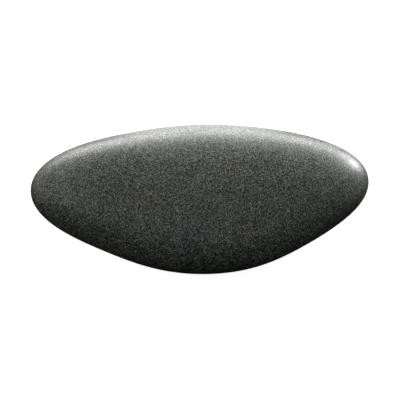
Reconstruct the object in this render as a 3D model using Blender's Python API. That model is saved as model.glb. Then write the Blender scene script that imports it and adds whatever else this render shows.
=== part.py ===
"""A basalt massage stone: one piece of stone, a rounded half-moon pebble, honed all over.

It lies on its ground underside at z = 0 with its length along X. Its gently arched back faces +Y
and its blunt belly faces -Y. The middle of its outline is over the origin. Sizes are in metres.
"""

import math

import bmesh
import bpy
from mathutils import Vector

NAME = "massage_stone"

# Overall size
LENGTH = 0.110
WIDTH = 0.0535
THICKNESS = 0.024

# The outline from above: a circle with low lobes on it, stretched to the length and the width.
# Each row is how many lobes go round, how far they stand out as a share of the circle's radius,
# and where the first one points, in degrees from +X towards +Y.
LOBES = (
    (2, 0.030, 25.0),    # leans the outline, so that the +X end lies a little nearer the back
    (3, 0.055, 35.0),    # the two ends and the belly
    (4, 0.025, 5.0),     # blunts the ends
    (6, 0.005, 30.0),    # brings the belly to a rounded corner
)

# The section: a crowned top and a rounded rim that runs in under the stone to a flat
GIRDLE_HEIGHT = 0.0105   # from the surface that the stone lies on up to its widest level
CROWN_ACROSS = 2.5       # 2 makes the top an ellipse across the width, and more makes it flatter
CROWN_ALONG = 4.0        # the same along the length
RIM_ROUNDNESS = 2.2      # 2 makes the rim below the girdle an ellipse, and more makes it fuller
FLAT_LENGTH = 0.056      # the ground flat is an ellipse
FLAT_WIDTH = 0.022

# The mesh
CELLS = 24               # cells along each edge of the cube that the stone is shaped from
OUTLINE_STEPS = 720      # steps round the outline when its extent is measured

STONE_COLOR = (0.045, 0.050, 0.043, 1.0)
STONE_ROUGHNESS = 0.55


def clear_scene():
    """Removes every object that the scene starts with."""
    for old in list(bpy.data.objects):
        bpy.data.objects.remove(old, do_unlink=True)


def basalt():
    """Honed basalt: dark, slightly green grey, with a low sheen."""
    material = bpy.data.materials.new("basalt")
    material.use_nodes = True
    shader = material.node_tree.nodes["Principled BSDF"]
    shader.inputs["Base Color"].default_value = STONE_COLOR
    shader.inputs["Roughness"].default_value = STONE_ROUGHNESS
    shader.inputs["Metallic"].default_value = 0.0
    return material


def lobed(angle):
    """The point at an angle on the lobed circle."""
    reach = 1.0
    for count, share, points_to in LOBES:
        reach += share * math.cos(count * (angle - math.radians(points_to)))
    return reach * math.cos(angle), reach * math.sin(angle)


def outline_extent():
    """The middle and the half extent of the lobed circle, along X and along Y."""
    turn = 2.0 * math.pi / OUTLINE_STEPS
    xs, ys = zip(*[lobed(step * turn) for step in range(OUTLINE_STEPS)])
    middles = ((max(xs) + min(xs)) / 2.0, (max(ys) + min(ys)) / 2.0)
    halves = ((max(xs) - min(xs)) / 2.0, (max(ys) - min(ys)) / 2.0)
    return middles, halves


def on_outline(angle, extent):
    """The point at an angle on the stone's own outline."""
    (middle_x, middle_y), (half_x, half_y) = extent
    x, y = lobed(angle)
    return (x - middle_x) / half_x * LENGTH / 2.0, (y - middle_y) / half_y * WIDTH / 2.0


def top_height(angle, share):
    """The height of the crowned top, a share of the way from its middle to the outline."""
    crown = CROWN_ACROSS + (CROWN_ALONG - CROWN_ACROSS) * math.cos(angle) ** 2
    rise = math.sqrt(max(0.0, 1.0 - share ** crown))
    return GIRDLE_HEIGHT + (THICKNESS - GIRDLE_HEIGHT) * rise


def underside_height(edge_x, edge_y, share):
    """The height of the flat, or of the rim beyond it."""
    flat_share = 1.0 / math.hypot(2.0 * edge_x / FLAT_LENGTH, 2.0 * edge_y / FLAT_WIDTH)
    beyond = max(0.0, (share - flat_share) / (1.0 - flat_share))
    fall = math.sqrt(max(0.0, 1.0 - beyond ** RIM_ROUNDNESS))
    return GIRDLE_HEIGHT * (1.0 - fall)


def ball_of_cells():
    """A ball made from a cube, with its points spread evenly."""
    mesh = bmesh.new()
    bmesh.ops.create_cube(mesh, size=2.0)
    bmesh.ops.subdivide_edges(mesh, edges=mesh.edges[:], cuts=CELLS - 1, use_grid_fill=True)
    for point in mesh.verts:
        spread = [math.tan(side * math.pi / 4.0) for side in point.co]
        point.co = Vector(spread).normalized()
    return mesh


def massage_stone():
    """The stone: each point of a ball is moved out or in to where it belongs on the stone."""
    extent = outline_extent()
    mesh = ball_of_cells()
    for point in mesh.verts:
        angle = math.atan2(point.co.y, point.co.x)
        share = math.hypot(point.co.x, point.co.y)
        edge_x, edge_y = on_outline(angle, extent)
        if point.co.z >= 0.0:
            height = top_height(angle, share)
        else:
            height = underside_height(edge_x, edge_y, share)
        point.co = Vector((edge_x * share, edge_y * share, height))
    data = bpy.data.meshes.new(NAME)
    mesh.to_mesh(data)
    mesh.free()
    data.shade_smooth()
    data.materials.append(basalt())
    return bpy.data.objects.new(NAME, data)


clear_scene()
parts = bpy.data.collections.new("basalt_massage_stone")
bpy.context.scene.collection.children.link(parts)
parts.objects.link(massage_stone())
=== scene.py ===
import math

import bmesh
import bpy
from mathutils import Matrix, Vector, noise


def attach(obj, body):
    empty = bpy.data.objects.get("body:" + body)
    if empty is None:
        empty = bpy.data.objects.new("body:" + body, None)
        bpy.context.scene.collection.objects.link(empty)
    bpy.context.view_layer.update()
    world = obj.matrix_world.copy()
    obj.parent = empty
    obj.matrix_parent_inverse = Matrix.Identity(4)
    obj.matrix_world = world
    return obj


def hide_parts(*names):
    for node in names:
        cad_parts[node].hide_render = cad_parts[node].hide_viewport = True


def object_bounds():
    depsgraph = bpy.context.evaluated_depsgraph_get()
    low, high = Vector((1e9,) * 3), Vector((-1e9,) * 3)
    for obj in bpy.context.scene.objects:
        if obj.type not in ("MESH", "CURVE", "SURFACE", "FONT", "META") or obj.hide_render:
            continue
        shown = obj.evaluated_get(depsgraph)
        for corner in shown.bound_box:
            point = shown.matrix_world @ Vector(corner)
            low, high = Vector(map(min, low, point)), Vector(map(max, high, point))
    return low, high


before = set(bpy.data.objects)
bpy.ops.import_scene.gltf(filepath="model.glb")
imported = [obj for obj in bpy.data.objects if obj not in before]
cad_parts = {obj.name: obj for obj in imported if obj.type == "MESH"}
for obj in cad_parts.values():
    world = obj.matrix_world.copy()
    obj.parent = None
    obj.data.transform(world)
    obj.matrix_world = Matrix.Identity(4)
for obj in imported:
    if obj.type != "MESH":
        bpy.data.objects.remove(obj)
cad_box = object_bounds()


# The stone: one pebble of basalt, a fine-grained dark lava. Such stones are picked or sawn to a rough
# shape, ground round and honed with fine grit, so they are smooth to the palm and have a low, satin
# gleam. Nothing is fixed to it. It lies on a flat underside, which is taken to be ground level.

STONE = "massage_stone"
REFINEMENT = 2            # each cell of the ground shape is split into 4, this many times over
WAVES_WIDE = 0.016        # the long, shallow waves that hand grinding leaves
WAVES_DEEP = 0.00012
DIMPLES_WIDE = 0.0035     # the smaller unevenness left by the honing blocks
DIMPLES_DEEP = 0.00002
LEVEL_BELOW = 0.0004      # the ground flat stays level up to this height
BLEND_ABOVE = 0.0030      # and the waves are at full depth from here on
WELD_WITHIN = 0.000001
PAIR_ANGLE = math.radians(30.0)    # triangles pair up where they bend less than this
PAIR_SKEW = math.radians(60.0)     # and where the cell's corners are this close to square


def ground_blank(node):
    """A copy of the node's mesh, welded and with its triangles paired into four-sided cells."""
    mesh = bmesh.new()
    mesh.from_mesh(node.data)
    bmesh.ops.remove_doubles(mesh, verts=mesh.verts[:], dist=WELD_WITHIN)
    bmesh.ops.join_triangles(
        mesh,
        faces=mesh.faces[:],
        angle_face_threshold=PAIR_ANGLE,
        angle_shape_threshold=PAIR_SKEW,
    )
    data = bpy.data.meshes.new("honed_stone")
    mesh.to_mesh(data)
    mesh.free()
    return data


def refined(piece, levels):
    """Subdivides the piece smoothly and keeps the result as its mesh."""
    finer = piece.modifiers.new("finer", "SUBSURF")
    finer.levels = levels
    finer.render_levels = levels
    seen = piece.evaluated_get(bpy.context.evaluated_depsgraph_get())
    piece.data = bpy.data.meshes.new_from_object(seen)
    piece.modifiers.clear()


def uneven(data):
    """Presses shallow waves and dimples into the surface, and leaves the ground flat level."""
    outward = [point.normal.copy() for point in data.vertices]
    for point, normal in zip(data.vertices, outward):
        place = point.co.copy()
        rise = min(1.0, max(0.0, (place.z - LEVEL_BELOW) / (BLEND_ABOVE - LEVEL_BELOW)))
        waves = noise.noise(place / WAVES_WIDE) - 1.0
        dimples = noise.noise(place / DIMPLES_WIDE) - 1.0
        depth = waves * WAVES_DEEP / 2.0 + dimples * DIMPLES_DEEP / 2.0
        point.co = place + normal * depth * rise


def linear(code):
    """An sRGB hex colour as linear red, green, blue and alpha."""
    parts = [int(code[i:i + 2], 16) / 255.0 for i in (1, 3, 5)]
    return [p / 12.92 if p <= 0.04045 else ((p + 0.055) / 1.055) ** 2.4 for p in parts] + [1.0]


def add(tree, kind, sockets=None, **settings):
    """Adds a node with its settings. Each socket gets a value, or a link from another's output."""
    node = tree.nodes.new(kind)
    for name, value in settings.items():
        setattr(node, name, value)
    for name, value in (sockets or {}).items():
        if isinstance(value, bpy.types.NodeSocket):
            tree.links.new(value, node.inputs[name])
        else:
            node.inputs[name].default_value = value
    return node


def shades(tree, factor, stops):
    """A colour ramp with a stop for each (place, hex colour)."""
    node = add(tree, "ShaderNodeValToRGB", {"Fac": factor})
    ramp = node.color_ramp
    while len(ramp.elements) < len(stops):
        ramp.elements.new(1.0)
    for element, (place, code) in zip(ramp.elements, stops):
        element.position = place
        element.color = linear(code)
    return node.outputs["Color"]


# Most crystals in basalt are finer than half a millimetre. They are drawn about 0.2 mm across, with the
# little pits that honing opens about 0.4 mm apart, which is about as fine as shows when the whole stone
# is in view. Faint mottling, about 9 mm across, stands for patches where one kind of crystal gathers.
CRYSTAL = 0.00021
PIT_SPACING = 0.0004
MOTTLE = 0.009
PIT_DEPTH = 0.00003
FINEST_POLISH = 0.34      # roughness of the crystals that polish best
DULLEST_POLISH = 0.50


def honed_basalt():
    """Dark green-grey stone, peppered with pale feldspar and black pyroxene crystals.

    Honing leaves each crystal with its own polish and pits between them, which breaks the gleam into
    specks."""
    material = bpy.data.materials.new("honed_basalt")
    material.use_nodes = True
    tree = material.node_tree
    shader = tree.nodes["Principled BSDF"]
    shader.inputs["IOR"].default_value = 1.55
    shader.inputs["Specular IOR Level"].default_value = 0.55
    place = add(tree, "ShaderNodeTexCoord").outputs["Object"]
    crystals = add(tree, "ShaderNodeTexVoronoi", {"Vector": place, "Scale": 1.0 / CRYSTAL})
    each = add(tree, "ShaderNodeSeparateColor", {"Color": crystals.outputs["Color"]})
    pits = add(tree, "ShaderNodeTexVoronoi", {"Vector": place, "Scale": 1.0 / PIT_SPACING})
    patches = add(tree, "ShaderNodeTexNoise", {"Vector": place, "Scale": 1.0 / MOTTLE, "Detail": 3.0})
    mineral = shades(tree, each.outputs["Red"], [
        (0.00, "#000000"), (0.57, "#060706"), (0.61, "#6f776d"), (1.00, "#b0b8ac"),
    ])
    # Painted shade: each pit is drawn darker in the colour, as well as sunk by the bump below
    painted_pit_shade = shades(tree, pits.outputs["Distance"], [(0.25, "#303030"), (0.45, "#ffffff")])
    tint = shades(tree, patches.outputs["Fac"], [
        (0.30, "#e2edf0"), (0.50, "#eff3eb"), (0.70, "#f7f4e0"),
    ])
    color = mineral
    for layer in (painted_pit_shade, tint):
        both = add(tree, "ShaderNodeMix", data_type="RGBA", blend_type="MULTIPLY")
        both.inputs[0].default_value = 1.0
        tree.links.new(color, both.inputs[6])
        tree.links.new(layer, both.inputs[7])
        color = both.outputs[2]
    tree.links.new(color, shader.inputs["Base Color"])
    polish = add(tree, "ShaderNodeMapRange", {
        "Value": each.outputs["Green"], "To Min": FINEST_POLISH, "To Max": DULLEST_POLISH,
    })
    tree.links.new(polish.outputs["Result"], shader.inputs["Roughness"])
    relief = add(tree, "ShaderNodeBump", {
        "Height": pits.outputs["Distance"], "Distance": PIT_DEPTH, "Strength": 1.0,
    })
    tree.links.new(relief.outputs["Normal"], shader.inputs["Normal"])
    return material


stone = bpy.data.objects.new("honed_stone", ground_blank(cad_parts[STONE]))
bpy.context.scene.collection.objects.link(stone)
refined(stone, REFINEMENT)
uneven(stone.data)
stone.data.shade_smooth()
stone.data.materials.clear()
stone.data.materials.append(honed_basalt())
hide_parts(STONE)
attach(stone, "root")


# The studio: a wide, pale, matt table under soft light. Low, bright strips stand across the back and at
# the sides and skim the stone's rim. Wide soft boxes hang above it, in front of it and at its sides, and
# two panels on the table behind it light the lowest part of the far rim.

TABLE_SIZE = 3.0
TABLE_DROP = 0.0001       # keeps the table's face clear of the stone's flat
STRIP_HEIGHT = 0.14
PANEL_GAP = 0.00025       # between the stone's back and the panels
PANEL_DEPTH = 0.175       # from there towards the back
PANEL_HEIGHT = 0.0005     # just above the table's face


def matt_white():
    """White laminate with a matt face: no gleam, and lit from below, so that it shows as plain white."""
    material = bpy.data.materials.new("matt_white_laminate")
    material.use_nodes = True
    shader = material.node_tree.nodes["Principled BSDF"]
    shader.inputs["Base Color"].default_value = linear("#f0f0ee")
    shader.inputs["Roughness"].default_value = 0.9
    shader.inputs["Specular IOR Level"].default_value = 0.0
    shader.inputs["Emission Color"].default_value = linear("#ffffff")
    shader.inputs["Emission Strength"].default_value = 0.9
    return material


bpy.ops.mesh.primitive_plane_add(size=TABLE_SIZE, location=(0.0, 0.0, -TABLE_DROP))
table = bpy.context.object
table.name = "table"
table.data.materials.append(matt_white())
# The table shows but throws no light on the stone, whose lower rim stays dark
table.visible_diffuse = False
table.visible_glossy = False


def lit_rectangle(name, place, rotation, width, height, radiance):
    """A rectangle that shines evenly from one side and isn't seen itself."""
    light = bpy.data.lights.new(name, "AREA")
    light.shape = "RECTANGLE"
    light.size = width
    light.size_y = height
    light.energy = radiance * width * height * math.pi
    lamp = bpy.data.objects.new(name, light)
    lamp.location = place
    lamp.rotation_euler = rotation
    lamp.visible_camera = False
    bpy.context.scene.collection.objects.link(lamp)


def soft_box(name, azimuth, elevation, distance, width, height, radiance):
    """A soft box that faces the stone. Azimuth is from +Y towards +X, in degrees."""
    turn, climb = math.radians(azimuth), math.radians(elevation)
    away = Vector((
        math.sin(turn) * math.cos(climb), math.cos(turn) * math.cos(climb), math.sin(climb),
    ))
    facing = (-away).to_track_quat("-Z", "Y").to_euler()
    lit_rectangle(name, away * distance, facing, width, height, radiance)


def table_panel(name, width, radiance):
    """A light panel that lies on the table behind the stone and faces up."""
    back = cad_box[1][1] + PANEL_GAP
    place = Vector((0.0, back + PANEL_DEPTH / 2.0, PANEL_HEIGHT))
    lit_rectangle(name, place, (math.pi, 0.0, 0.0), width, PANEL_DEPTH, radiance)


# Each soft box: azimuth, elevation, distance, width, height and radiance
soft_box("strip_back", 0.0, 4.0, 1.0, 1.50, STRIP_HEIGHT, 20.0)
soft_box("strip_back_right", 45.0, 4.0, 1.0, 0.25, STRIP_HEIGHT, 75.0)
soft_box("strip_back_upper", 0.0, 12.0, 1.0, 1.00, STRIP_HEIGHT, 6.0)
soft_box("strip_left", -70.0, 4.0, 1.0, 1.20, STRIP_HEIGHT, 3.0)
soft_box("strip_right", 80.0, 4.0, 1.0, 1.20, STRIP_HEIGHT, 2.0)
soft_box("box_left", -80.0, 40.0, 1.1, 1.50, 0.40, 1.5)
soft_box("box_right", 80.0, 40.0, 1.1, 1.50, 0.40, 0.6)
soft_box("box_top", 0.0, 80.0, 1.2, 2.20, 1.10, 0.4)
soft_box("box_front", 180.0, 60.0, 1.2, 1.50, 0.50, 0.4)

# Each panel: width and radiance
table_panel("panel_middle", 0.06, 2.5)
table_panel("panel_wide", 0.30, 0.5)

world = bpy.data.worlds.new("pale_room")
bpy.context.scene.world = world
world.use_nodes = True
world.node_tree.nodes["Background"].inputs["Color"].default_value = linear("#ffffff")
world.node_tree.nodes["Background"].inputs["Strength"].default_value = 1.0
# The room's white is only a backdrop: it neither lights the stone nor is mirrored in it
world.cycles_visibility.diffuse = False
world.cycles_visibility.glossy = False
bpy.context.scene.view_settings.view_transform = "Standard"


# The camera: a long lens, held high in front of the stone's belly.

CAMERA_HEIGHT_ANGLE = math.radians(60.0)
CAMERA_DISTANCE = 0.36
CAMERA_AIM = Vector((0.0, 0.0, 0.009))

sight = Vector((0.0, math.cos(CAMERA_HEIGHT_ANGLE), -math.sin(CAMERA_HEIGHT_ANGLE)))
lens = bpy.data.cameras.new("camera")
lens.lens = 100.0
camera = bpy.data.objects.new("camera", lens)
camera.location = CAMERA_AIM - sight * CAMERA_DISTANCE
camera.rotation_euler = sight.to_track_quat("-Z", "Y").to_euler()
bpy.context.scene.collection.objects.link(camera)
bpy.context.scene.camera = camera
